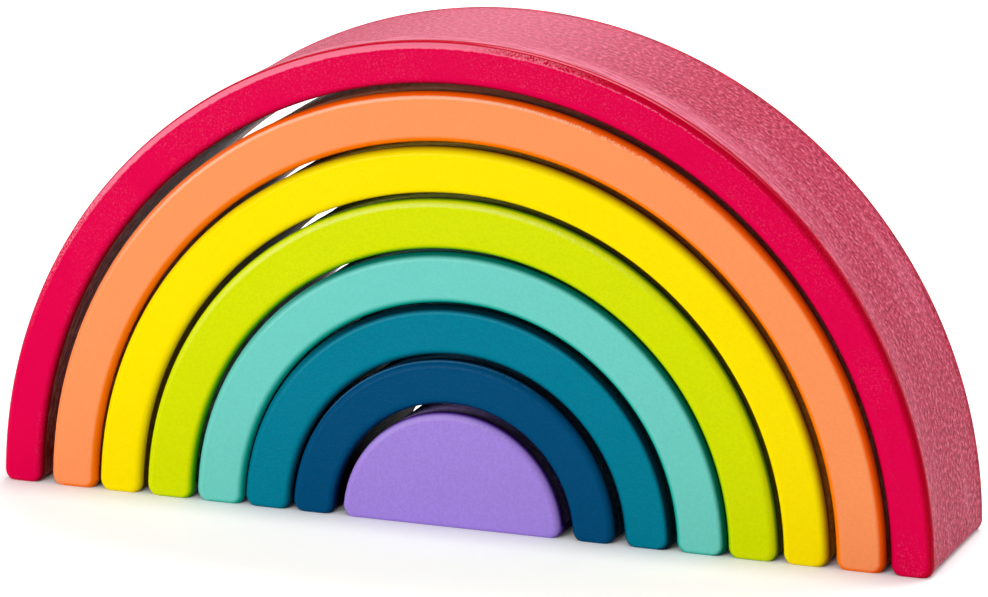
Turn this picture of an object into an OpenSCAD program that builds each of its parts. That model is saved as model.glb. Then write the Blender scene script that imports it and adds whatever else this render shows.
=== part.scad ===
// Nesting wooden rainbow: seven arches over a solid half-round core, in millimetres.
// The pieces are loose. They stand on one level, with the origin under the middle of the red arch.

/* [Pieces] */
// Depth of every piece, front face to back face
depth = 57; // [36:1:90]
// Radius of the solid half-round core
core_r = 35.6; // [24:0.1:60]

/* [Walls] */
// Thickness of the navy arch, inner curve to outer curve
navy_wall = 13.7; // [11:0.1:22]
// Thickness of the teal arch
teal_wall = 15.1; // [11:0.1:22]
// Thickness of the mint arch
mint_wall = 15.6; // [11:0.1:22]
// Thickness of the lime arch
lime_wall = 15.4; // [11:0.1:22]
// Thickness of the yellow arch
yellow_wall = 14.1; // [11:0.1:22]
// Thickness of the orange arch
orange_wall = 15.3; // [11:0.1:22]
// Thickness of the red arch
red_wall = 13.1; // [11:0.1:22]

/* [Clearances] */
// Saw gap between the core and the navy arch, all round
navy_gap = 2.8; // [0.8:0.1:5]
// Saw gap between the navy and the teal arch
teal_gap = 1.8; // [0.8:0.1:5]
// Saw gap between the teal and the mint arch
mint_gap = 0.9; // [0.8:0.1:5]
// Saw gap between the mint and the lime arch
lime_gap = 0.9; // [0.8:0.1:5]
// Saw gap between the lime and the yellow arch
yellow_gap = 1.8; // [0.8:0.1:5]
// Saw gap between the yellow and the orange arch
orange_gap = 1.6; // [0.8:0.1:5]
// Saw gap between the orange and the red arch
red_gap = 2.3; // [0.8:0.1:5]

/* [Edges] */
// Radius of the rounded-over edges of the front and back faces
edge_r = 2.4; // [1:0.1:2.8]
// Radius of the foot corners, seen from the front
foot_r = 4.2; // [3:0.1:5]
// Height sanded off the rounded feet to make them stand flat
foot_flat = 0.9; // [0.1:0.1:1.4]

/* [Places] */
// Share of the gap around it by which the core stands to the right
core_side_share = -0.1; // [-0.7:0.05:0.7]
// Share of the gap around it by which the navy arch stands to the right
navy_side_share = -0.6; // [-0.7:0.05:0.7]
// Share of the gap around it by which the teal arch stands to the right
teal_side_share = -0.5; // [-0.7:0.05:0.7]
// Share of the gap around it by which the mint arch stands to the right
mint_side_share = 0.45; // [-0.7:0.05:0.7]
// Share of the gap around it by which the lime arch stands to the right
lime_side_share = 0; // [-0.7:0.05:0.7]
// Share of the gap around it by which the yellow arch stands to the right
yellow_side_share = -0.4; // [-0.7:0.05:0.7]
// Share of the gap around it by which the orange arch stands to the right
orange_side_share = 0.35; // [-0.7:0.05:0.7]

/* [Hidden] */
$fn = 96;

// Inner radius of each arch, built outwards from the core
navy_in = core_r + navy_gap;
teal_in = navy_in + navy_wall + teal_gap;
mint_in = teal_in + teal_wall + mint_gap;
lime_in = mint_in + mint_wall + lime_gap;
yellow_in = lime_in + lime_wall + yellow_gap;
orange_in = yellow_in + yellow_wall + orange_gap;
red_in = orange_in + orange_wall + red_gap;

// Sideways place of each piece, worked inwards from the red arch at zero
orange_x = orange_side_share * red_gap;
yellow_x = orange_x + yellow_side_share * orange_gap;
lime_x = yellow_x + lime_side_share * yellow_gap;
mint_x = lime_x + mint_side_share * lime_gap;
teal_x = mint_x + teal_side_share * mint_gap;
navy_x = teal_x + navy_side_share * teal_gap;
core_x = navy_x + core_side_share * navy_gap;

// Height of the foot corners' centres once the feet are sanded
foot_z = foot_r - foot_flat;
// Height of the sole edges' centres once the feet are sanded
sole_z = edge_r - foot_flat;
// Overrun of the cuts past the wood
overrun = 2;
// Amount by which a rounding cut starts outside the wood, so that it runs out cleanly
run_out = 0.1;

// Sideways place of a foot corner's centre that lies at radius r
function foot_x(r) = sqrt(r * r - foot_z * foot_z);

// Half of an arch's section: one curve with both of its edges rounded over
module rim_section(reach) {
    translate([0, -depth / 2])
        square([reach - edge_r, depth]);
    translate([0, edge_r - depth / 2])
        square([reach, depth - 2 * edge_r]);
    for (face = [-1, 1])
        translate([reach - edge_r, face * (depth / 2 - edge_r)])
            circle(edge_r);
}

// Whole section of an arch, with the inner curve at zero
module wall_section(wall) {
    intersection() {
        rim_section(wall);
        translate([wall, 0])
            mirror([1, 0])
                rim_section(wall);
    }
}

// Wood outside a rounded corner whose centre is at zero, towards the lower right
module corner_waste(r) {
    difference() {
        translate([0, -r - overrun])
            square([r + overrun, r + overrun]);
        circle(r);
    }
}

// Cut that rounds the right foot's outer corner
module outer_foot_cut(r) {
    translate([foot_x(r - foot_r) + run_out, foot_z, 0])
        linear_extrude(depth + 2 * overrun, center = true)
            corner_waste(foot_r);
}

// Cut that rounds the right foot's inner corner
module inner_foot_cut(r) {
    translate([foot_x(r + foot_r) - run_out, foot_z, 0])
        linear_extrude(depth + 2 * overrun, center = true)
            mirror([1, 0])
                corner_waste(foot_r);
}

// Cut that rounds the sole edge of the front face over the whole width
module sole_cut(r) {
    translate([-r - overrun, sole_z, depth / 2 - edge_r + run_out])
        rotate([90, 0, 90])
            linear_extrude(2 * (r + overrun))
                rotate([0, 0, 180])
                    corner_waste(edge_r);
}

// Arch drawn flat from the front, then stood up with its depth along Y
module arch(r_in, wall) {
    r_out = r_in + wall;
    rotate([90, 0, 0])
        difference() {
            rotate_extrude(angle = 180)
                translate([r_in, 0])
                    wall_section(wall);
            for (side = [0, 1])
                mirror([side, 0, 0]) {
                    outer_foot_cut(r_out);
                    inner_foot_cut(r_in);
                }
            for (face = [0, 1])
                mirror([0, 0, face])
                    sole_cut(r_out);
        }
}

// Solid half round with the same edges, stood up the same way
module half_round(r) {
    rotate([90, 0, 0])
        difference() {
            rotate_extrude(angle = 180)
                rim_section(r);
            for (side = [0, 1])
                mirror([side, 0, 0])
                    outer_foot_cut(r);
            for (face = [0, 1])
                mirror([0, 0, face])
                    sole_cut(r);
        }
}

// Crimson outer arch
module red_arch() {
    color("#de0246")
        arch(red_in, red_wall);
}

// Orange arch
module orange_arch() {
    color("#ff9257")
        translate([orange_x, 0, 0])
            arch(orange_in, orange_wall);
}

// Yellow arch
module yellow_arch() {
    color("#ffe000")
        translate([yellow_x, 0, 0])
            arch(yellow_in, yellow_wall);
}

// Lime arch
module lime_arch() {
    color("#d6e202")
        translate([lime_x, 0, 0])
            arch(lime_in, lime_wall);
}

// Mint arch
module mint_arch() {
    color("#66cebe")
        translate([mint_x, 0, 0])
            arch(mint_in, mint_wall);
}

// Teal arch
module teal_arch() {
    color("#007e95")
        translate([teal_x, 0, 0])
            arch(teal_in, teal_wall);
}

// Navy arch
module navy_arch() {
    color("#014c77")
        translate([navy_x, 0, 0])
            arch(navy_in, navy_wall);
}

// Purple half-round core
module purple_core() {
    color("#9d7edb")
        translate([core_x, 0, 0])
            half_round(core_r);
}

red_arch();
orange_arch();
yellow_arch();
lime_arch();
mint_arch();
teal_arch();
navy_arch();
purple_core();
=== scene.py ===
"""Looks of a nesting wooden rainbow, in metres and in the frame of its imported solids.

Each piece is one closed shell worked out with numpy. Its outline, seen from the front, is carried
through the depth; the edges are rounded over, the feet are sanded flat, and the sawn curves carry
the fibrous relief that the saw leaves. Front, back and rounded edges are painted.
"""

import logging
from abc import ABC, abstractmethod
from dataclasses import dataclass
from enum import Enum
from functools import reduce
from typing import Any, NamedTuple

import bpy
import numpy as np
from mathutils import Matrix, Vector
from numpy.typing import NDArray


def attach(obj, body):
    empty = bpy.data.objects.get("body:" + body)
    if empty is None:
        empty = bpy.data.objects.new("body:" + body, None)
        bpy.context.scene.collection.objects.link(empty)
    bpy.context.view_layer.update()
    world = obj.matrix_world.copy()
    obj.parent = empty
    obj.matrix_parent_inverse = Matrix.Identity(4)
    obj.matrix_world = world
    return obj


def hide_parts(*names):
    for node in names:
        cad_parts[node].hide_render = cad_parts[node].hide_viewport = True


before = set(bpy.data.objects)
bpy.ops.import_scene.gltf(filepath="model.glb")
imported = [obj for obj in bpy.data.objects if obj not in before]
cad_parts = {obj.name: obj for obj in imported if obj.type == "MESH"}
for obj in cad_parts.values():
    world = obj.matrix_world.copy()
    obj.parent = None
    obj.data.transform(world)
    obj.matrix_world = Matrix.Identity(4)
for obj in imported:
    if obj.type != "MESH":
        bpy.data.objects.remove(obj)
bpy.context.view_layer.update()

Array = NDArray[np.float64]
Index = NDArray[np.int64]
Colour = tuple[float, float, float]
Place = tuple[float, float, float]
Pair = tuple[float, float]
Socket = bpy.types.NodeSocket
Material = bpy.types.Material

MM = 0.001
GRAIN_MAP = "grain"
EDGE_RUN = "edge_run"
CROWN_SHARE = "crown_share"
TURN = "turn"
CHIP_FULL = 255
NOISE_ROWS, NOISE_COLUMNS = 512, 256
FINE_WEIGHT = 0.6
WHITE = (1.0, 1.0, 1.0, 1.0)

log = logging.getLogger("rainbow")


class Coat(Enum):
    """Material places of a piece, in the order its mesh holds them."""

    PAINT = 0
    CROWN = 1
    HOLLOW = 2


class Ramp(NamedTuple):
    """Two values, and the results that they are carried to."""

    start: float
    stop: float
    low: float = 0.0
    high: float = 1.0


def tint(red: int, green: int, blue: int) -> Colour:
    """Linear colour of a paint chip that is written from 0 to 255, by the sRGB curve.

    Args:
        red: Red of the chip.
        green: Green of the chip.
        blue: Blue of the chip.

    Returns:
        The three linear values, from 0 to 1.
    """
    chip = np.array([red, green, blue]) / CHIP_FULL
    linear = np.where(chip <= 0.04045, chip / 12.92, ((chip + 0.055) / 1.055) ** 2.4)
    return tuple(float(value) for value in linear)


def lattice_noise(along: Array, across: Array, seed: int) -> Array:
    """Smooth noise from 0 to 1.

    Random heights stand on a unit lattice. The height at a point is the mean of the four around
    it, each weighted both ways by 3f^2 - 2f^3 of the fraction f past its lattice line.

    Args:
        along: First coordinate, in lattice steps.
        across: Second coordinate, in lattice steps.
        seed: Seed of the heights.

    Returns:
        One height for each point.
    """
    heights = np.random.default_rng(seed).random((NOISE_ROWS, NOISE_COLUMNS))
    row, column = np.floor(along).astype(int), np.floor(across).astype(int)
    parts = (along - row, across - column)
    down, over = (part * part * (3 - 2 * part) for part in parts)
    near, far = row % NOISE_ROWS, (row + 1) % NOISE_ROWS
    left, right = column % NOISE_COLUMNS, (column + 1) % NOISE_COLUMNS
    first = heights[near, left] * (1 - over) + heights[near, right] * over
    second = heights[far, left] * (1 - over) + heights[far, right] * over
    return first * (1 - down) + second * down


@dataclass(frozen=True)
class Run:
    """One side of a front outline: its points and their outward directions, in millimetres."""

    points: Array
    outward: Array

    def inset(self, amount: float) -> Array:
        """Points of this side moved into the wood by an amount."""
        return self.points - amount * self.outward

    def back(self) -> "Run":
        """This side followed the other way."""
        return Run(self.points[::-1], self.outward[::-1])

    def then(self, other: "Run") -> "Run":
        """This side carried on by another that starts where it ends."""
        points = np.concatenate([self.points, other.points[1:]])
        return Run(points, np.concatenate([self.outward, other.outward[1:]]))

    def way(self) -> Array:
        """Way run along this side to each of its points."""
        step = np.linalg.norm(np.diff(self.points, axis=0), axis=1)
        return np.concatenate([[0.0], np.cumsum(step)])

    def turn(self) -> Array:
        """How far each point faces right, from -1 to 1, with only the sign where it faces down."""
        across, up = self.outward[:, 0], self.outward[:, 1]
        return np.where(up < 0.0, np.sign(across), across)


Sides = tuple[Run, Run, Run, Run]


def arc_run(centre: Pair, radius: float, angles: Array) -> Run:
    """Arc: centre + radius * (cos, sin), facing (cos, sin). A radius below 0 gives a hollow arc.

    Args:
        centre: Centre of the arc.
        radius: Radius, below 0 where the wood lies outside the arc.
        angles: Direction that each point faces, in radians.

    Returns:
        The arc as a side.
    """
    outward = np.stack([np.cos(angles), np.sin(angles)], -1)
    return Run(np.array(centre) + radius * outward, outward)


def sole_run(start: Array, stop: Array, shares: Array) -> Run:
    """Straight side that faces down: start + share * (stop - start).

    Args:
        start: First point.
        stop: Last point.
        shares: Share of the way at each point.

    Returns:
        The line as a side.
    """
    points = start + shares[:, None] * (stop - start)
    return Run(points, np.broadcast_to([0.0, -1.0], points.shape))


class NodeBench:
    """Adds and joins the nodes of one node tree."""

    RANGE_INPUTS = ("Value", "From Min", "From Max", "To Min", "To Max")

    def __init__(self, tree: bpy.types.NodeTree) -> None:
        """Clears the tree that is to be filled."""
        self.tree = tree
        self.tree.nodes.clear()

    def add(self, kind: str, sockets: dict[Any, Any] | None = None, **settings: Any) -> bpy.types.Node:
        """Adds a node.

        Args:
            kind: Blender's type name of the node, without "ShaderNode".
            sockets: Input values, or output sockets to link, by input name or number.
            settings: Properties of the node.

        Returns:
            The node.
        """
        node = self.tree.nodes.new("ShaderNode" + kind)
        for name, value in settings.items():
            setattr(node, name, value)
        for name, value in (sockets or {}).items():
            if isinstance(value, Socket):
                self.tree.links.new(value, node.inputs[name])
            else:
                node.inputs[name].default_value = value
        return node

    def attribute(self, name: str) -> Socket:
        """Value of a mesh attribute of that name."""
        return self.add("Attribute", attribute_name=name).outputs["Fac"]

    def noise(self, place: Socket, scale: float, detail: float = 2.0, rough: float = 0.5) -> Socket:
        """Noise from about 0 to 1: cells to a unit of the place, finer layers and their weight."""
        sockets = {"Vector": place, "Scale": scale, "Detail": detail, "Roughness": rough}
        return self.add("TexNoise", sockets).outputs["Fac"]

    def ramp(self, value: Socket, ramp: Ramp) -> Socket:
        """Value carried smoothly from the ramp's ends to its results, and held beyond them."""
        sockets = dict(zip(self.RANGE_INPUTS, (value, *ramp)))
        return self.add("MapRange", sockets, interpolation_type="SMOOTHSTEP").outputs["Result"]

    def maths(self, operation: str, first: Any, second: Any) -> Socket:
        """Two values put through one of Blender's maths operations."""
        return self.add("Math", {0: first, 1: second}, operation=operation).outputs["Value"]

    def product(self, *values: Any) -> Socket:
        """Product of two or more values, multiplied in order."""
        return reduce(lambda first, second: self.maths("MULTIPLY", first, second), values)

    def mix(self, share: Socket, first: Any, second: Any) -> Socket:
        """Value between two, by a share from 0 to 1."""
        # Inputs 2 and 3 of the mix node are values
        return self.add("Mix", {0: share, 2: first, 3: second}, data_type="FLOAT").outputs[0]

    def blend(self, share: Socket, first: Any, second: Any) -> Socket:
        """Colour between two, each a linear colour or a socket, by a share from 0 to 1."""
        # Inputs 6 and 7 of the mix node are colours, and so is output 2
        sockets = {0: share, 6: self.opaque(first), 7: self.opaque(second)}
        return self.add("Mix", sockets, data_type="RGBA").outputs[2]

    def opaque(self, colour: Any) -> Any:
        """A socket as it is, or a linear colour with full alpha."""
        return colour if isinstance(colour, Socket) else (*colour, 1.0)


class ShaderBench(NodeBench):
    """Adds and joins the nodes of one material."""

    def __init__(self, name: str) -> None:
        """Makes an empty node material.

        Args:
            name: Name of the material.
        """
        self.material = bpy.data.materials.new(name)
        self.material.use_nodes = True
        super().__init__(self.material.node_tree)

    def close(self, shader: Socket) -> Material:
        """Joins a shader to the output and gives the material."""
        self.add("OutputMaterial", {"Surface": shader})
        return self.material


@dataclass(frozen=True)
class PaintFinish:
    """Satin paint of the faces and rounded edges, with painted shade over the edges and painted
    highlights along the crown.

    Ways run over an edge are in millimetres, below 0 on the face. Turns go from -1 at the left
    foot over 0 at the top to 1 at the right foot. Scales are in cells to the metre, and the relief
    is in metres.
    """

    name: str
    face: Colour
    # Painted shade: the edge and under colours darken the rounded edges of the crown and of the underside,
    # where they turn away from the light or into the gaps. Their deeper, more saturated tone also paints
    # light bounced between the pieces.
    edge: Colour
    under: Colour
    # Painted highlight: the glint colour of the pale specks and pale lines.
    glint: Colour
    edge_shade_ramp: Ramp = Ramp(1.2, 3.6)
    under_shade_ramp: Ramp = Ramp(1.4, 3.7)
    glint_speck_share: float = 0.04
    # Painted highlights: share and span of the pale line along the crown's edge, and share of the broad
    # pale band on its upper left.
    line_share: float = 0.1
    line_span: Pair = (-0.3, 0.75)
    highlight_band_share: float = 0.0
    peel: float = 0.5
    ragged: float = 0.06
    roughness: float = 0.22
    gloss: float = 0.02

    CLOUD_SCALE = 38.0
    PEEL_SCALE = 1700.0
    SPECK_SCALE = 2300.0
    JITTER_SCALE = 420.0
    DOT_SCALE = 1500.0
    JITTER_WEIGHT = 0.65
    PEEL_SHADE = 0.1
    SPECK_RELIEF_SHARE = 0.5
    RELIEF = 0.00016
    SMOOTHER = 0.04
    ROUGHER = 0.06
    LINE_SOFT_SHARE = 0.4

    PEEL_HOLLOWS = Ramp(0.4, 0.62)
    # Painted shade on the crown's edge is weaker towards the left foot, on the lit side.
    EDGE_SHADE_FROM_LEFT = Ramp(-0.95, -0.4, low=0.15)
    # Painted glint specks, gathered in clouds and fading at the left foot.
    SPECKS = Ramp(0.54, 0.72)
    SPECK_CLOUDS = Ramp(0.34, 0.6, low=0.2)
    SPECKS_FROM_LEFT = Ramp(-1.0, -0.75)
    NOISE_MIDDLE = Ramp(0.3, 0.7)
    DOTS = Ramp(0.38, 0.62)
    # Where the painted highlight lines and band lie along the crown: strongest on its upper left, breaking
    # into dots right of the top.
    LINE_TO_DOTS = Ramp(-0.05, 0.4)
    LINE_TO_RIGHT = Ramp(0.75, 0.25)
    LINE_FROM_LEFT = Ramp(-0.97, -0.6)
    LAST_START = Ramp(2.4, 2.6)
    LAST_STOP = Ramp(3.1, 2.9)
    LAST_FROM_TOP = Ramp(0.02, 0.14)
    BAND_START = Ramp(0.2, 0.5)
    BAND_STOP = Ramp(2.2, 1.9)
    BAND_TO_DOTS = Ramp(-0.02, 0.16)
    BAND_TO_RIGHT = Ramp(0.36, 0.1)
    BAND_TO_LEFT_DOTS = Ramp(-0.7, -0.86)
    BAND_FROM_LEFT = Ramp(-0.97, -0.8)

    def material(self) -> Material:
        """Paint with painted shade over the rounded edges, orange peel, painted glint specks and painted
        highlight lines.

        The painted shade on the crown's edge is weaker towards the left foot, the lit side.

        Returns:
            The material.
        """
        bench = ShaderBench(self.name)
        place = bench.add("TexCoord").outputs["Object"]
        run, turn = bench.attribute(EDGE_RUN), bench.attribute(TURN)
        clouds = bench.noise(place, self.CLOUD_SCALE, detail=3.0)
        peel = bench.noise(place, self.PEEL_SCALE, detail=3.0, rough=FINE_WEIGHT)
        # Fine noise of the painted glint specks and of the orange peel's relief.
        speck_noise = bench.noise(place, self.SPECK_SCALE, rough=FINE_WEIGHT)

        shade = tuple((1.0 - self.PEEL_SHADE * self.peel) * value for value in self.face)
        colour = bench.blend(bench.ramp(peel, self.PEEL_HOLLOWS), self.face, shade)
        crown = bench.attribute(CROWN_SHARE)
        # Painted shade over the rounded edges: the crown's edge colour comes in by way run and turn, and
        # the underside's by way run.
        over = bench.product(bench.ramp(run, self.edge_shade_ramp), bench.ramp(turn, self.EDGE_SHADE_FROM_LEFT))
        edge_shade_share = bench.mix(crown, bench.ramp(run, self.under_shade_ramp), over)
        colour = bench.blend(edge_shade_share, colour, bench.blend(crown, self.under, self.edge))
        # Painted glint specks: pale dots of highlight scattered over the face.
        glint_specks = bench.product(
            bench.ramp(speck_noise, self.SPECKS), bench.ramp(clouds, self.SPECK_CLOUDS),
            bench.ramp(turn, self.SPECKS_FROM_LEFT), self.glint_speck_share)
        colour = bench.blend(glint_specks, colour, self.glint)
        # Painted highlights along the crown's edge.
        colour = bench.blend(self.painted_highlights(bench, place, run, turn), colour, self.glint)

        wear = self.NOISE_MIDDLE._replace(
            low=self.roughness - self.SMOOTHER, high=self.roughness + self.ROUGHER)
        height = bench.maths("ADD", peel, bench.product(speck_noise, self.SPECK_RELIEF_SHARE))
        bump = bench.add("Bump", {"Strength": self.peel, "Distance": self.RELIEF, "Height": height})
        paint = bench.add("BsdfPrincipled", {
            "Base Color": colour, "Roughness": bench.ramp(clouds, wear),
            "Specular IOR Level": self.gloss, "Normal": bump.outputs["Normal"]})
        return bench.close(paint.outputs["BSDF"])

    def painted_highlights(self, bench: ShaderBench, place: Socket, run: Socket, turn: Socket) -> Socket:
        """Share of painted highlight on the crown's edge.

        A pale highlight line runs along the edge and breaks up into dots right of the top. Where a
        band share is set, the edge also has a broad pale highlight band that breaks up at both ends,
        and a thin highlight line further over the edge, right of the top.

        Args:
            bench: Bench of the material.
            place: Object coordinates.
            run: Way run over the edge.
            turn: How far the outline faces right.

        Returns:
            The share, from 0 to 1.
        """
        jitter = bench.ramp(
            bench.noise(place, self.JITTER_SCALE, detail=4.0, rough=self.JITTER_WEIGHT),
            self.NOISE_MIDDLE._replace(low=-self.ragged, high=self.ragged))
        ragged = bench.maths("ADD", run, jitter)
        dots = bench.ramp(bench.noise(place, self.DOT_SCALE), self.DOTS)
        start, stop = self.line_span
        soft = self.LINE_SOFT_SHARE * (stop - start)
        lines = bench.product(
            bench.ramp(ragged, Ramp(start, start + soft)), bench.ramp(ragged, Ramp(stop, stop - soft)),
            bench.mix(bench.ramp(turn, self.LINE_TO_DOTS), 1.0, dots))
        if self.highlight_band_share:
            last = bench.product(
                bench.ramp(run, self.LAST_START), bench.ramp(run, self.LAST_STOP),
                bench.ramp(turn, self.LAST_FROM_TOP))
            lines = bench.maths("MAXIMUM", lines, last)
        lines = bench.product(
            lines, bench.ramp(turn, self.LINE_TO_RIGHT),
            bench.ramp(turn, self.LINE_FROM_LEFT._replace(high=self.line_share)))
        band = bench.product(
            bench.ramp(ragged, self.BAND_START), bench.ramp(run, self.BAND_STOP),
            bench.mix(bench.ramp(turn, self.BAND_TO_DOTS), 1.0, dots),
            bench.ramp(turn, self.BAND_TO_RIGHT),
            bench.mix(bench.ramp(turn, self.BAND_TO_LEFT_DOTS), 1.0, dots),
            bench.ramp(turn, self.BAND_FROM_LEFT._replace(high=self.highlight_band_share)))
        return bench.product(bench.maths("MAXIMUM", lines, band), bench.attribute(CROWN_SHARE))


@dataclass(frozen=True)
class SawnFinish:
    """Stained wood of the sawn curves, with painted shade by the edges and on the hollow side, and a
    painted sheen towards the top.

    Ways run over an edge, the recess and the relief are in millimetres. Grains are in cells to the
    metre along the outline and through the depth. The band's depth and the fine relief are in
    metres.
    """

    name: str
    # Painted shade: a dark colour over the sawn curve next to the rounded edges, out to a set way from the
    # front, where the curve lies in the gaps between pieces.
    gap_shade: Colour
    # Painted shade: the hollow side's stain darkened, as the hollow side lies in the gaps between pieces.
    hollow: Colour
    deep: Colour
    mid: Colour
    pale: Colour
    # Pale torn fibres on the hollow side: partly bare wood, partly a painted grey sheen.
    bare_fibre_and_sheen: Colour = tint(222, 212, 206)
    gap_shade_end: float = 9.5
    roughness: float = 0.42
    gloss: float = 0.01
    hollow_gloss: float = 0.005
    fibre_and_sheen_share: float = 0.0
    recess: float = 0.22
    relief: float = 0.16

    PEBBLE_GRAIN = (660.0, 620.0)
    FIBRE_GRAIN = (110.0, 760.0)
    TONE_GRAIN = (16.0, 70.0)
    HOLLOW_GRAIN = (220.0, 620.0)
    FIBRE_SHARE = 0.55
    HOLLOW_SHADE = 0.55
    GAP_SHADE_TONES = (0.45, 1.5)
    GAP_SHADE_START = 3.75
    FINE_RELIEF = 0.0007

    BAND_START = Ramp(4.0, 6.0)
    BAND_DEPTH = Ramp(0.019, 0.007)
    BAND_TO_TOP = Ramp(0.95, 0.4, low=0.25)
    BAND_TONE = Ramp(0.2, 0.55, low=0.5)
    STAIN = Ramp(0.32, 0.5)
    PALE_GRAIN = Ramp(0.48, 0.7, high=0.7)
    BRUSHED = Ramp(0.36, 0.62, low=0.3, high=0.9)
    SHEEN_TO_TOP = Ramp(0.5, 0.0, high=0.45)
    WORN_TONE = Ramp(0.48, 0.75, high=0.4)
    GAP_SHADE_FIBRES = Ramp(0.38, 0.62)
    HOLLOW_FIBRES = Ramp(0.36, 0.6)
    TORN_FIBRES = Ramp(0.48, 0.58)

    def crown_material(self) -> Material:
        """Stain on a pebbled sawn curve, darkened by the edges as painted shade where it lies in the
        gaps, and paled towards the top as painted sheen and in patches as wear.

        A paler band of brushed fibres lies behind the front edge.

        Returns:
            The material.
        """
        bench = ShaderBench(self.name + "_crown")
        grain = bench.add("UVMap", uv_map=GRAIN_MAP).outputs["UV"]
        run = bench.attribute(EDGE_RUN)
        from_front = bench.add("SeparateXYZ", {"Vector": grain}).outputs["Y"]
        side = bench.maths("ABSOLUTE", bench.attribute(TURN), 0.0)
        pebbles = self.streaks(bench, grain, self.PEBBLE_GRAIN)
        fibres = self.streaks(bench, grain, self.FIBRE_GRAIN)
        tone = self.streaks(bench, grain, self.TONE_GRAIN)

        band = bench.product(
            bench.ramp(run, self.BAND_START), bench.ramp(from_front, self.BAND_DEPTH),
            bench.ramp(side, self.BAND_TO_TOP), bench.ramp(tone, self.BAND_TONE))
        torn = bench.mix(bench.product(band, self.FIBRE_SHARE), pebbles, fibres)
        colour = bench.blend(bench.ramp(torn, self.STAIN), self.deep, self.mid)
        colour = bench.blend(bench.ramp(torn, self.PALE_GRAIN), colour, self.pale)
        # Painted sheen: paler towards the top of the crown. Paler in random patches of tone as wear.
        top_sheen_and_wear = bench.maths("MAXIMUM", bench.ramp(side, self.SHEEN_TO_TOP), bench.ramp(tone, self.WORN_TONE))
        brushed = bench.product(band, bench.ramp(fibres, self.BRUSHED))
        colour = bench.blend(bench.maths("MAXIMUM", brushed, top_sheen_and_wear), colour, self.pale)
        # Painted shade by the edges, where the sawn curve lies in the gaps between pieces, streaked by the
        # fibres.
        dark, light = (tuple(share * value for value in self.gap_shade) for share in self.GAP_SHADE_TONES)
        gap_shade = bench.blend(bench.ramp(fibres, self.GAP_SHADE_FIBRES), dark, light)
        colour = bench.blend(bench.ramp(run, Ramp(self.GAP_SHADE_START, self.gap_shade_end)), gap_shade, colour)
        return self.wood(bench, colour, torn, self.gloss)

    def hollow_material(self) -> Material:
        """Stain on the hollow side and the soles, darkened as painted shade, with paler torn fibres that
        are partly a painted grey sheen.

        Returns:
            The material.
        """
        bench = ShaderBench(self.name + "_hollow")
        grain = bench.add("UVMap", uv_map=GRAIN_MAP).outputs["UV"]
        fibres = self.streaks(bench, grain, self.HOLLOW_GRAIN)
        # Painted shade of the hollow side, streaked darker by the fibres.
        shade = tuple(self.HOLLOW_SHADE * value for value in self.hollow)
        colour = bench.blend(bench.ramp(fibres, self.HOLLOW_FIBRES), shade, self.hollow)
        # Pale torn fibres, partly bare wood and partly a painted grey sheen.
        torn = bench.ramp(fibres, self.TORN_FIBRES._replace(high=self.fibre_and_sheen_share))
        return self.wood(bench, bench.blend(torn, colour, self.bare_fibre_and_sheen), fibres, self.hollow_gloss)

    def wood(self, bench: ShaderBench, colour: Socket, height: Socket, gloss: float) -> Material:
        """Closes a sawn material.

        Args:
            bench: Bench of the material.
            colour: Its stain.
            height: Its fine relief.
            gloss: Its specular level.

        Returns:
            The material.
        """
        bump = bench.add("Bump", {"Strength": 1.0, "Distance": self.FINE_RELIEF, "Height": height})
        wood = bench.add("BsdfPrincipled", {
            "Base Color": colour, "Roughness": self.roughness, "Specular IOR Level": gloss,
            "Normal": bump.outputs["Normal"]})
        return bench.close(wood.outputs["BSDF"])

    def streaks(self, bench: ShaderBench, grain: Socket, cells: Pair) -> Socket:
        """Noise on the grain map, with its own number of cells to the metre along and across."""
        place = bench.add("Mapping", {"Vector": grain, "Scale": (*cells, 1.0)}).outputs["Vector"]
        return bench.noise(place, scale=1.0, detail=4.0, rough=FINE_WEIGHT)


@dataclass(frozen=True)
class PaintBead:
    """Ragged bead of paint where a face turns into its rounding, in millimetres."""

    height: float = 0.05
    centre: float = 0.12
    spread: float = 0.28
    lump: float = 1.7
    least_share: float = 0.25

    def rise(self, way: Array, run: Array, crown: Array, seed: int) -> Array:
        """Height of the bead in front of the face.

        A bell curve over the way run, centred just past the face's edge, times lattice noise
        along the outline.

        Args:
            way: Way run round the outline.
            run: Way run from the face's edge, below 0 on the face.
            crown: 1 on the crown, 0 on the underside.
            seed: Seed of the noise.

        Returns:
            The heights.
        """
        lumps = lattice_noise(way / self.lump, np.zeros_like(way), seed)
        ragged = self.least_share + (1 - self.least_share) * lumps
        return self.height * crown * ragged * np.exp(-((run - self.centre) / self.spread) ** 2)


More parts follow.
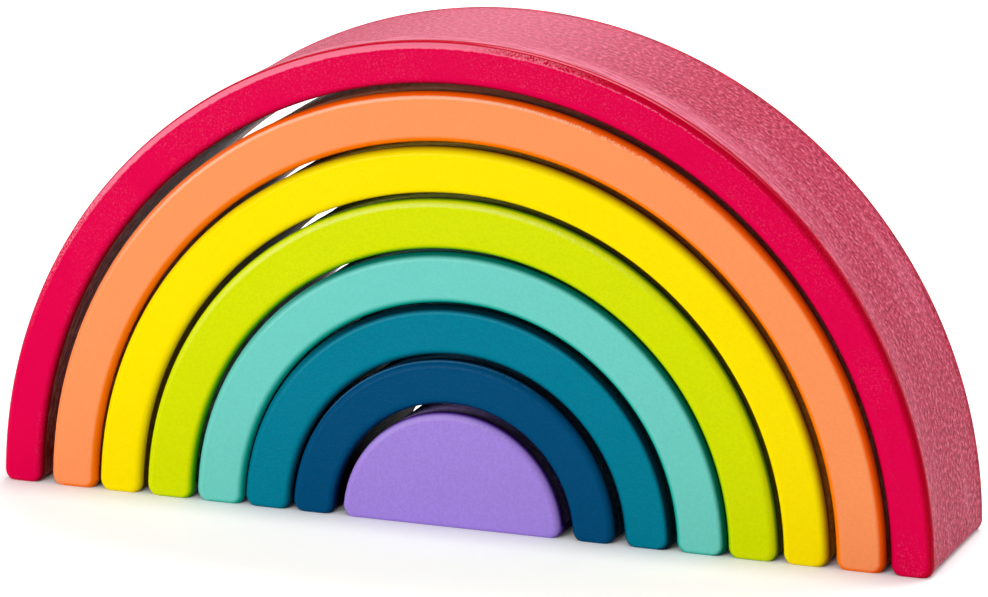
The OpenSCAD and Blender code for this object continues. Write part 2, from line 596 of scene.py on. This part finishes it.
@dataclass(frozen=True)
class Stock:
    """Sizes that every piece of the set shares, in millimetres, with the steps of its mesh."""

    depth: float = 57.0
    edge_r: float = 2.4
    foot_r: float = 4.2
    foot_flat: float = 0.9
    pitch: float = 1.0
    depth_pitch: float = 0.9
    foot_steps: int = 9

    ROUNDING_DEGREES = (0, 3, 7, 13, 21, 31, 43, 57, 73, 90)

    @property
    def foot_z(self) -> float:
        """Height of the foot corners' centres once the feet are sanded."""
        return self.foot_r - self.foot_flat

    @property
    def rounding(self) -> float:
        """Way run over a rounded edge, from the face to the sawn side."""
        return self.edge_r * np.pi / 2

    def profile(self) -> tuple[Array, Array, Array]:
        """Front face edge to back face edge: rounding, straight side, rounding.

        On the rounding at angle a the outline lies edge_r * (1 - sin a) in from the sides and
        edge_r * (1 - cos a) behind the face.

        Returns:
            Inset from the outline, place along the depth, and way run from the front face's edge.
        """
        angle = np.radians(self.ROUNDING_DEGREES)
        inset, back = self.edge_r * (1 - np.sin(angle)), self.edge_r * (1 - np.cos(angle))
        half = self.depth / 2
        count = int(np.ceil((self.depth - 2 * self.edge_r) / self.depth_pitch))
        side = np.linspace(self.edge_r - half, half - self.edge_r, count + 1)[1:-1]
        depth_place = np.concatenate([back - half, side, half - back[::-1]])
        insets = np.concatenate([inset, np.zeros(len(side)), inset[::-1]])
        step = np.hypot(np.diff(insets), np.diff(depth_place))
        return insets, depth_place, np.concatenate([[0.0], np.cumsum(step)])


@dataclass
class Patch:
    """Points of one part of a shell with their traits, and its four-sided faces."""

    points: Array
    edge_run: Array
    crown_share: Array
    turn: Array
    faces: Index
    grain: Array
    coats: Index


@dataclass
class Shell:
    """A closed shell of patches whose faces count through all their points, in millimetres."""

    patches: list[Patch]

    def gather(self, field: str) -> NDArray[Any]:
        """One field of all the patches, one after another."""
        return np.concatenate([getattr(patch, field) for patch in self.patches])

    def mesh(self, name: str) -> bpy.types.Mesh:
        """Puts the arrays into a smooth mesh, in metres.

        Args:
            name: Name of the mesh.

        Returns:
            The mesh, with its map and attributes.
        """
        points, faces = self.gather("points") * MM, self.gather("faces")
        starts = np.arange(0, faces.size, faces.shape[1], dtype=np.int32)
        mesh = bpy.data.meshes.new(name)
        mesh.vertices.add(len(points))
        mesh.vertices.foreach_set("co", points.astype(np.float32).ravel())
        mesh.loops.add(faces.size)
        mesh.loops.foreach_set("vertex_index", faces.astype(np.int32).ravel())
        mesh.polygons.add(len(faces))
        mesh.polygons.foreach_set("loop_start", starts)
        mesh.polygons.foreach_set("material_index", self.gather("coats").astype(np.int32))
        mesh.update(calc_edges=True)
        mesh.polygons.foreach_set("use_smooth", np.ones(len(faces), dtype=bool))
        grain = mesh.uv_layers.new(name=GRAIN_MAP)
        grain.uv.foreach_set("vector", (self.gather("grain") * MM).astype(np.float32).ravel())
        for title in (EDGE_RUN, CROWN_SHARE, TURN):
            layer = mesh.attributes.new(title, "FLOAT", "POINT")
            layer.data.foreach_set("value", self.gather(title).astype(np.float32))
        mesh.validate()
        return mesh


def corners_of(grid: NDArray[Any], columns_first: bool) -> NDArray[Any]:
    """The four corners of every cell of a grid, turned so that faces point outwards.

    Args:
        grid: Values on a grid of rows and columns, with any further axes.
        columns_first: True to go round each cell along the columns first.

    Returns:
        One row of four corners for each cell.
    """
    by_row, by_column = grid[1:, :-1], grid[:-1, 1:]
    second, last = (by_column, by_row) if columns_first else (by_row, by_column)
    cells = np.stack([grid[:-1, :-1], second, grid[1:, 1:], last], 2)
    return cells.reshape(-1, 4, *grid.shape[2:])


@dataclass(kw_only=True)
class NestPiece(ABC):
    """A loose painted piece of the nest. Sizes are in millimetres.

    The nest works out the outer radius and the sideways place. The side share is the share of the
    gap around the piece by which it stands to the right.
    """

    node: str
    body: str
    slot: str
    paint: PaintFinish
    sawn: SawnFinish
    seed: int
    side_share: float = 0.0
    outer_r: float = 0.0
    side_x: float = 0.0
    bead: PaintBead = PaintBead()
    stock: Stock = Stock()

    FACE_SHARES = (0.0, 0.02, 0.05, 0.1, 0.22, 0.5, 0.78, 0.9, 0.95, 0.98, 1.0)
    # Weight and cell size, along and across, of each layer of the sawn relief
    RELIEF_LAYERS = ((0.45, 3.4, 2.6), (0.35, 2.1, 1.7), (0.2, 45.0, 18.0))
    RELIEF_FADE = 1.6
    SOLE_FACING = -0.999
    COAT_SLACK = 0.03
    BEAD_SHARES = (0.25, 0.75)
    MAP_MARGIN = 2.0
    TINY = 1e-9

    @abstractmethod
    def sides(self) -> Sides:
        """Crown and underside from right to left, then right and left end from crown to underside."""

    def shares(self) -> Array:
        """Places of the face's points between the crown and the underside, closer at the edges."""
        return np.array(self.FACE_SHARES)

    def crown_angles(self) -> tuple[Array, Array]:
        """Directions of the right foot corner and of the crown, tangent where they meet.

        Returns:
            Corner directions from the floor upwards, and crown directions from right to left.
        """
        lift = np.arcsin(self.stock.foot_z / (self.outer_r - self.stock.foot_r))
        count = int(np.ceil(np.pi * self.outer_r / self.stock.pitch))
        corner = np.linspace(-np.pi / 2, lift, self.stock.foot_steps)
        return corner, np.linspace(lift, np.pi - lift, count)

    def foot_centre(self, radius: float) -> Pair:
        """Centre of the right foot corner that lies at a radius from the middle of the nest."""
        return float(np.sqrt(radius**2 - self.stock.foot_z**2)), self.stock.foot_z

    def relief(self, way: Array, place: Array, wood: Array) -> Array:
        """Depth of the sawn curve below the painted edge.

        An even recess plus three layers of lattice noise. It fades out next to the rounded edges.

        Args:
            way: Way run round the outline at each outline point.
            place: Way run through the depth at each depth step.
            wood: 1 where the outline is sawn, 0 on the soles.

        Returns:
            Depths on the grid of outline points and depth steps.
        """
        ways, places = np.meshgrid(way, place, indexing="ij")
        layers = sum(
            weight * lattice_noise(ways / along, places / across, self.seed + number)
            for number, (weight, along, across) in enumerate(self.RELIEF_LAYERS))
        into = np.minimum(places - self.stock.rounding, place[-1] - self.stock.rounding - places)
        fade = np.clip(into / self.RELIEF_FADE, 0.0, 1.0)
        return (self.sawn.recess + layers * self.sawn.relief) * fade * wood[:, None]

    def bead_rise(self, way: Array, run: Array, crown: Array) -> Array:
        """Height of this piece's paint bead, whose noise follows the relief's layers."""
        return self.bead.rise(way, run, crown, self.seed + len(self.RELIEF_LAYERS))

    def place(self, x: Array, y: Array, z: Array) -> Array:
        """Points of a grid at this piece's place in the nest, none of them below the floor."""
        return np.stack([x + self.side_x, y, np.maximum(z, 0.0)], -1).reshape(-1, 3)

    def rim(self, sides: Sides) -> Patch:
        """The outline carried along the depth profile.

        Each outline point is moved against its outward direction by the profile's inset plus the
        relief, and to the profile's place along the depth plus the bead.

        Args:
            sides: The outline's four sides.

        Returns:
            The rim: rounded front edge, sawn side and rounded back edge.
        """
        crown, under, right, left = sides
        outline = crown.then(left).then(under.back()).then(right.back())
        points, outward = outline.points[:-1], outline.outward[:-1]
        way = outline.way()
        insets, depth_place, run = self.stock.profile()
        ones = np.ones((len(points), len(run)))
        turn = outline.turn()[:-1, None] * ones
        on_crown = (np.arange(len(points)) < len(crown.points))[:, None] * ones
        on_wood = (outward[:, 1] > self.SOLE_FACING).astype(float)

        sink = insets + self.relief(way[:-1], run, on_wood)
        flat = points[:, None, :] - sink[..., None] * outward[:, None, :]
        edge_run = np.minimum(run, run[::-1]) * ones
        bead = self.bead_rise(way[:-1, None] * ones, edge_run, on_crown)
        depth = depth_place + np.sign(depth_place) * bead

        number = np.arange(ones.size).reshape(ones.shape)
        faces = corners_of(np.concatenate([number, number[:1]]), True)
        grain = np.stack(np.meshgrid(way, run, indexing="ij"), -1)
        middle = np.minimum(run[:-1], run[::-1][1:])
        sawn = np.where(on_crown[:, :-1] > 0.0, Coat.CROWN.value, Coat.HOLLOW.value)
        coats = np.where(middle >= self.stock.rounding - self.COAT_SLACK, sawn, Coat.PAINT.value)
        return Patch(
            points=self.place(flat[..., 0], depth, flat[..., 1]), edge_run=edge_run.ravel(),
            crown_share=on_crown.ravel(), turn=turn.ravel(), faces=faces,
            grain=corners_of(grain, True).reshape(-1, 2), coats=coats.ravel())

    def face_grid(self, sides: Sides) -> Array:
        """Flat face inside the rounding.

        A patch between four sides: the crown and underside blended across, plus the two ends
        blended along, less the four corners blended both ways.

        Args:
            sides: The outline's four sides.

        Returns:
            Points on the grid of rows along the crown and columns across it.
        """
        crown, under, right, left = (side.inset(self.stock.edge_r) for side in sides)
        way = np.linspace(0.0, 1.0, len(crown))[:, None, None]
        share = self.shares()[None, :, None]
        across = (1 - share) * crown[:, None] + share * under[:, None]
        along = (1 - way) * right[None] + way * left[None]
        corners = ((1 - way) * ((1 - share) * crown[0] + share * under[0])
                   + way * ((1 - share) * crown[-1] + share * under[-1]))
        return across + along - corners

    def face_numbers(self, rows: int, columns: int, layer: int, start: int) -> Index:
        """Point numbers of a face's grid: its border is the rim's, its inside is its own.

        Args:
            rows: Points along the crown.
            columns: Points across the face.
            layer: Depth step of the rim that the face closes.
            start: Number of the face's first own point.

        Returns:
            The numbers, on the grid.
        """
        steps = len(self.stock.profile()[2])
        count = 2 * (rows + columns) - 4
        ring = np.arange(count) * steps + layer
        grid = np.zeros((rows, columns), dtype=np.int64)
        grid[:, 0] = ring[:rows]
        grid[-1, 1:] = ring[rows:rows + columns - 1]
        grid[:-1, -1] = ring[rows + columns - 1:2 * rows + columns - 2][::-1]
        grid[0, 1:-1] = ring[2 * rows + columns - 2:][::-1]
        grid[1:-1, 1:-1] = start + np.arange((rows - 2) * (columns - 2)).reshape(rows - 2, -1)
        return grid

    def face(self, sides: Sides, front: bool, start: int) -> Patch:
        """Front or back face, with the bead along its crown.

        Args:
            sides: The outline's four sides.
            front: True for the front face.
            start: Number of the face's first own point.

        Returns:
            The face, joined to the rim's first or last depth step.
        """
        grid = self.face_grid(sides)
        rows, columns = grid.shape[:2]
        borders = (grid[:, :1], grid[:, -1:], grid[:1], grid[-1:])
        to_side = np.stack([np.linalg.norm(grid - border, axis=-1) for border in borders])
        near = to_side.min(0)
        crown = to_side[1] / (to_side[0] + to_side[1] + self.TINY)
        way = sides[0].way()[:, None] + 0 * near
        turn = sides[0].turn()[:, None] + 0 * near
        none, full = self.BEAD_SHARES
        bead = self.bead_rise(way, -near, np.clip((crown - none) / (full - none), 0.0, 1.0))
        depth = (-1.0 if front else 1.0) * (self.stock.depth / 2 + bead)
        run = self.stock.profile()[2]
        numbers = self.face_numbers(rows, columns, 0 if front else len(run) - 1, start)
        beyond = self.MAP_MARGIN + to_side[0]
        grain = np.stack([way, -beyond if front else run[-1] + beyond], -1)
        faces = corners_of(numbers, not front)
        inside = np.s_[1:-1, 1:-1]
        return Patch(
            points=self.place(grid[inside][..., 0], depth[inside], grid[inside][..., 1]),
            edge_run=-near[inside].ravel(), crown_share=crown[inside].ravel(),
            turn=turn[inside].ravel(), faces=faces,
            grain=corners_of(grain, not front).reshape(-1, 2),
            coats=np.full(len(faces), Coat.PAINT.value))

    def shell(self) -> Shell:
        """Works out the piece: its rim and the two faces that close it.

        Returns:
            The closed shell.
        """
        sides = self.sides()
        rim = self.rim(sides)
        front = self.face(sides, True, len(rim.points))
        back = self.face(sides, False, len(rim.points) + len(front.points))
        return Shell([rim, front, back])

    def dress(self, piece: bpy.types.Object) -> None:
        """Gives the piece its paint and its sawn wood, in the order of Coat."""
        for coat in (self.paint.material(), self.sawn.crown_material(), self.sawn.hollow_material()):
            piece.data.materials.append(coat)

    def build(self) -> bpy.types.Object:
        """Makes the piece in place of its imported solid.

        Returns:
            The dressed object.
        """
        name = self.node + "_painted"
        piece = bpy.data.objects.new(name, self.shell().mesh(name))
        bpy.context.scene.collection.objects.link(piece)
        self.dress(piece)
        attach(piece, self.body)
        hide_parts(self.node)
        return piece


@dataclass(kw_only=True)
class Arch(NestPiece):
    """A half ring that stands on two feet, with a saw gap between it and the next smaller piece."""

    wall: float
    gap: float

    def sides(self) -> Sides:
        """Crown and hollow, each with its foot corners, and the two soles.

        Returns:
            Crown, underside, right end and left end.
        """
        foot_r = self.stock.foot_r
        corner, angles = self.crown_angles()
        x, z = self.foot_centre(self.outer_r - foot_r)
        crown = (arc_run((x, z), foot_r, corner)
                 .then(arc_run((0.0, 0.0), self.outer_r, angles))
                 .then(arc_run((-x, z), foot_r, np.pi - corner[::-1])))
        inner_r = self.outer_r - self.wall
        x, z = self.foot_centre(inner_r + foot_r)
        lift = np.arcsin(z / (inner_r + foot_r))
        foot = np.linspace(-np.pi / 2, lift - np.pi, self.stock.foot_steps)
        hollow = np.linspace(lift, np.pi - lift, len(angles)) + np.pi
        under = (arc_run((x, z), foot_r, foot)
                 .then(arc_run((0.0, 0.0), -inner_r, hollow))
                 .then(arc_run((-x, z), foot_r, np.pi - foot[::-1])))
        shares = self.shares()
        return (crown, under, sole_run(crown.points[0], under.points[0], shares),
                sole_run(crown.points[-1], under.points[-1], shares))


@dataclass(kw_only=True)
class HalfRound(NestPiece):
    """The solid half round under the smallest arch."""

    def sides(self) -> Sides:
        """Crown, sole, and the two foot corners as ends.

        Returns:
            Crown, underside, right end and left end.
        """
        foot_r = self.stock.foot_r
        corner, angles = self.crown_angles()
        x, z = self.foot_centre(self.outer_r - foot_r)
        crown = arc_run((0.0, 0.0), self.outer_r, angles)
        turn = corner[-1] + self.shares() * (corner[0] - corner[-1])
        right = arc_run((x, z), foot_r, turn)
        left = arc_run((-x, z), foot_r, np.pi - turn)
        under = sole_run(right.points[-1], left.points[-1], np.linspace(0.0, 1.0, len(angles)))
        return crown, under, right, left


@dataclass
class RainbowNest:
    """The eight pieces of the nest. Sizes are in millimetres."""

    core_r: float = 35.6

    def arches(self) -> list[Arch]:
        """Arches with their walls, gaps and finishes.

        Returns:
            The arches, from the outermost inwards.
        """
        red = Arch(
            node="red_arch", body="red", slot="red_wood", wall=13.1, gap=2.3, seed=11,
            bead=PaintBead(height=0.07),
            paint=PaintFinish(
                "red_paint", face=tint(224, 0, 73), edge=tint(204, 0, 42), under=tint(130, 0, 16),
                glint=tint(255, 132, 158), edge_shade_ramp=Ramp(0.0, 1.6), under_shade_ramp=Ramp(0.4, 3.6),
                glint_speck_share=0.14, line_share=0.7, line_span=(0.0, 0.7), highlight_band_share=0.85,
                peel=0.3, ragged=0.16),
            sawn=SawnFinish(
                "red_sawn", gap_shade=tint(190, 0, 38), hollow=tint(150, 0, 8), deep=tint(128, 0, 40),
                mid=tint(194, 34, 76), pale=tint(240, 132, 158), gap_shade_end=5.4, gloss=0.06,
                hollow_gloss=0.15, fibre_and_sheen_share=0.18))
        orange = Arch(
            node="orange_arch", body="orange", slot="orange_wood", wall=15.3, gap=1.6,
            side_share=0.35, seed=21,
            paint=PaintFinish(
                "orange_paint", face=tint(255, 151, 93), edge=tint(255, 96, 0),
                under=tint(255, 122, 0), glint=tint(255, 196, 160), edge_shade_ramp=Ramp(0.2, 1.4),
                under_shade_ramp=Ramp(0.2, 1.3), line_share=0.8, line_span=(0.1, 1.6), peel=0.4),
            sawn=SawnFinish(
                "orange_sawn", gap_shade=tint(96, 8, 0), hollow=tint(200, 46, 0), deep=tint(186, 76, 28),
                mid=tint(236, 120, 62), pale=tint(246, 182, 138), gloss=0.1, hollow_gloss=0.55,
                fibre_and_sheen_share=0.25))
        yellow = Arch(
            node="yellow_arch", body="yellow", slot="yellow_wood", wall=14.1, gap=1.8,
            side_share=-0.4, seed=31,
            paint=PaintFinish(
                "yellow_paint", face=tint(255, 229, 0), edge=tint(150, 126, 0),
                under=tint(244, 206, 0), glint=tint(255, 240, 120), edge_shade_ramp=Ramp(0.0, 4.4),
                line_share=0.0, peel=0.3),
            sawn=SawnFinish(
                "yellow_sawn", gap_shade=tint(34, 28, 0), hollow=tint(150, 112, 0),
                deep=tint(186, 150, 0), mid=tint(240, 206, 8), pale=tint(250, 234, 120)))
        lime = Arch(
            node="lime_arch", body="lime", slot="lime_wood", wall=15.4, gap=0.9, seed=41,
            paint=PaintFinish(
                "lime_paint", face=tint(216, 228, 1), edge=tint(104, 158, 0),
                under=tint(84, 180, 0), glint=tint(240, 246, 140), edge_shade_ramp=Ramp(1.8, 3.2),
                under_shade_ramp=Ramp(0.6, 2.8), line_share=0.4, line_span=(-0.2, 1.9)),
            sawn=SawnFinish(
                "lime_sawn", gap_shade=tint(18, 36, 0), hollow=tint(0, 92, 0), deep=tint(124, 146, 2),
                mid=tint(188, 206, 16), pale=tint(222, 230, 128), hollow_gloss=0.9, fibre_and_sheen_share=0.4))
        mint = Arch(
            node="mint_arch", body="mint", slot="mint_wood", wall=15.6, gap=0.9, side_share=0.45, seed=51,
            paint=PaintFinish(
                "mint_paint", face=tint(112, 210, 198), edge=tint(0, 112, 100),
                under=tint(0, 176, 156), glint=tint(190, 236, 228), edge_shade_ramp=Ramp(0.4, 2.0),
                under_shade_ramp=Ramp(0.2, 2.0)),
            sawn=SawnFinish(
                "mint_sawn", gap_shade=tint(0, 26, 22), hollow=tint(0, 76, 68), deep=tint(46, 142, 130),
                mid=tint(92, 190, 176), pale=tint(170, 222, 212), gloss=0.12, hollow_gloss=0.35,
                fibre_and_sheen_share=0.25))
        teal = Arch(
            node="teal_arch", body="teal", slot="teal_wood", wall=15.1, gap=1.8, side_share=-0.5, seed=61,
            paint=PaintFinish(
                "teal_paint", face=tint(0, 127, 152), edge=tint(0, 38, 50), under=tint(0, 80, 102),
                glint=tint(90, 180, 196), edge_shade_ramp=Ramp(0.2, 1.7), under_shade_ramp=Ramp(0.4, 2.6),
                peel=0.8),
            sawn=SawnFinish(
                "teal_sawn", gap_shade=tint(0, 8, 12), hollow=tint(0, 26, 34), deep=tint(0, 78, 96),
                mid=tint(8, 118, 140), pale=tint(90, 170, 184)))
        navy = Arch(
            node="navy_arch", body="navy", slot="navy_wood", wall=13.7, gap=2.8, side_share=-0.6, seed=71,
            paint=PaintFinish(
                "navy_paint", face=tint(0, 77, 121), edge=tint(0, 26, 52), under=tint(0, 46, 86),
                glint=tint(84, 144, 184), edge_shade_ramp=Ramp(2.9, 3.6), under_shade_ramp=Ramp(0.8, 3.0),
                line_share=0.5, line_span=(1.9, 2.9), peel=0.7),
            sawn=SawnFinish(
                "navy_sawn", gap_shade=tint(0, 4, 12), hollow=tint(0, 10, 24), deep=tint(0, 44, 74),
                mid=tint(4, 74, 114), pale=tint(78, 124, 158)))
        return [red, orange, yellow, lime, mint, teal, navy]

    def core(self) -> HalfRound:
        """The half round with its size and finishes.

        Returns:
            The core.
        """
        return HalfRound(
            node="purple_core", body="core", slot="purple_wood", outer_r=self.core_r,
            side_share=-0.1, seed=81,
            paint=PaintFinish(
                "purple_paint", face=tint(170, 138, 230), edge=tint(84, 40, 156),
                under=tint(112, 70, 190), glint=tint(204, 184, 244), edge_shade_ramp=Ramp(1.8, 3.3),
                line_share=0.3, line_span=(0.0, 2.4), peel=0.9),
            sawn=SawnFinish(
                "purple_sawn", gap_shade=tint(20, 6, 44), hollow=tint(70, 40, 126), deep=tint(96, 66, 156),
                mid=tint(142, 112, 204), pale=tint(190, 170, 228)))

    def pieces(self) -> list[NestPiece]:
        """Pieces with their radii, built outwards from the core, and places, worked inwards.

        Returns:
            The pieces, from the outermost inwards.
        """
        arches, core = self.arches(), self.core()
        radius = core.outer_r
        for arch in reversed(arches):
            radius += arch.gap + arch.wall
            arch.outer_r = radius
        pieces = [*arches, core]
        for outer, inner in zip(arches, pieces[1:]):
            inner.side_x = outer.side_x + inner.side_share * outer.gap
        return pieces

    def build(self) -> None:
        """Builds each piece and reports it."""
        for piece in self.pieces():
            made = piece.build()
            log.info("%s on body %s: %d faces", made.name, piece.body, len(made.data.polygons))


@dataclass(frozen=True)
class Softbox:
    """A rectangular lamp that looks at a point. Places and sizes are in metres, the power in watts."""

    name: str
    place: Place
    target: Place
    width: float
    height: float
    power: float

    def build(self) -> None:
        """Makes the lamp."""
        lamp = bpy.data.lights.new(self.name, "AREA")
        lamp.shape, lamp.energy = "RECTANGLE", self.power
        lamp.size, lamp.size_y = self.width, self.height
        box = bpy.data.objects.new(self.name, lamp)
        box.location = self.place
        looks = Vector(self.target) - Vector(self.place)
        box.rotation_euler = looks.to_track_quat("-Z", "Y").to_euler()
        bpy.context.scene.collection.objects.link(box)


@dataclass
class Studio:
    """White sweep, soft lamps and the camera. Angles are in degrees, sizes in metres or as named."""

    camera_mm: Place = (580.327, -1575.823, 496.988)
    azimuth: float = 20.1484
    elevation: float = 14.4292
    roll: float = 0.1744
    focal_px: float = 5698.183
    photo_px: float = 988.0
    sensor_mm: float = 36.0
    clip: Pair = (0.05, 60.0)
    sky: float = 0.15
    floor_half: float = 6.0
    floor_grey: float = 0.75
    floor_glow: float = 0.69
    contact: float = 0.018
    contact_samples: int = 8

    def camera(self) -> None:
        """Puts the camera where the photograph was taken from."""
        data = bpy.data.cameras.new("studio_camera")
        data.sensor_fit, data.sensor_width = "HORIZONTAL", self.sensor_mm
        data.lens = self.focal_px * self.sensor_mm / self.photo_px
        data.clip_start, data.clip_end = self.clip
        azimuth, elevation, roll = np.radians([self.azimuth, self.elevation, self.roll])
        level_part = np.cos(elevation)
        back = np.array([np.sin(azimuth) * level_part, -np.cos(azimuth) * level_part, np.sin(elevation)])
        level = np.cross([0.0, 0.0, 1.0], back)
        level /= np.linalg.norm(level)
        rise = np.cross(back, level)
        right = np.cos(roll) * level + np.sin(roll) * rise
        up = np.cos(roll) * rise - np.sin(roll) * level
        turn = Matrix(np.stack([right, up, back], 1).tolist()).to_4x4()
        camera = bpy.data.objects.new("studio_camera", data)
        camera.matrix_world = Matrix.Translation(np.array(self.camera_mm) * MM) @ turn
        bpy.context.scene.collection.objects.link(camera)
        bpy.context.scene.camera = camera

    def seen(self, bench: NodeBench) -> Socket:
        """1 for rays that the camera, a mirror or glass sees, else 0.

        Args:
            bench: Bench that gets the nodes.

        Returns:
            The value.
        """
        rays = bench.add("LightPath").outputs
        direct = bench.maths("MAXIMUM", rays["Is Camera Ray"], rays["Is Glossy Ray"])
        return bench.maths("MAXIMUM", direct, rays["Is Transmission Ray"])

    def world(self) -> None:
        """White surroundings: plain white to the eye, softer as light on the pieces."""
        world = bpy.data.worlds.new("white_sweep")
        world.use_nodes = True
        bench = NodeBench(world.node_tree)
        strength = bench.add("MapRange", {"Value": self.seen(bench), "To Min": self.sky, "To Max": 1.0})
        light = bench.add("Background", {"Color": WHITE, "Strength": strength.outputs["Result"]})
        bench.add("OutputWorld", {"Surface": light.outputs["Background"]})
        bpy.context.scene.world = world

    def floor(self) -> None:
        """White floor that glows a little to the eye, so that only lamp shadows and a contact shadow
        show on it. The contact shadow is made in its shader: the glow fades with ambient occlusion
        next to the pieces.
        """
        half, grey, glow = self.floor_half, self.floor_grey, self.floor_glow
        corners = [(-half, -half, 0.0), (half, -half, 0.0), (half, half, 0.0), (-half, half, 0.0)]
        mesh = bpy.data.meshes.new("white_floor")
        mesh.from_pydata(corners, [], [(0, 1, 2, 3)])
        bench = ShaderBench("white_floor")
        matt = bench.add("BsdfDiffuse", {"Color": (grey, grey, grey, 1.0)})
        # Contact shadow made in the shader: the glow fades with ambient occlusion near the pieces.
        contact = bench.add("AmbientOcclusion", {"Distance": self.contact}, samples=self.contact_samples)
        shine = bench.product(self.seen(bench), contact.outputs["AO"])
        light = bench.add("Emission", {"Color": (glow, glow, glow, 1.0), "Strength": shine})
        both = bench.add("AddShader", {0: matt.outputs["BSDF"], 1: light.outputs["Emission"]})
        mesh.materials.append(bench.close(both.outputs["Shader"]))
        floor = bpy.data.objects.new("white_floor", mesh)
        bpy.context.scene.collection.objects.link(floor)

    def lamps(self) -> list[Softbox]:
        """The softboxes of the studio.

        Returns:
            Key, top and right lamps.
        """
        return [
            Softbox("key_softbox", place=(-0.75, -1.65, 0.33), target=(0.0, 0.0, 0.07),
                    width=0.6, height=0.6, power=25.0),
            Softbox("top_softbox", place=(0.1, 0.7, 1.2), target=(0.0, 0.0, 0.1),
                    width=1.1, height=0.6, power=19.0),
            Softbox("right_softbox", place=(1.2, 1.0, 0.5), target=(0.1, 0.0, 0.07),
                    width=0.6, height=0.6, power=7.5)]

    def build(self) -> None:
        """Sets up the studio and the plain view transform."""
        self.camera()
        self.world()
        self.floor()
        for lamp in self.lamps():
            lamp.build()
        bpy.context.scene.view_settings.view_transform = "Standard"


def main() -> None:
    """Builds the nest and the studio."""
    logging.basicConfig(level=logging.INFO, format="%(name)s: %(message)s")
    RainbowNest().build()
    Studio().build()


if __name__ == "__main__":
    main()
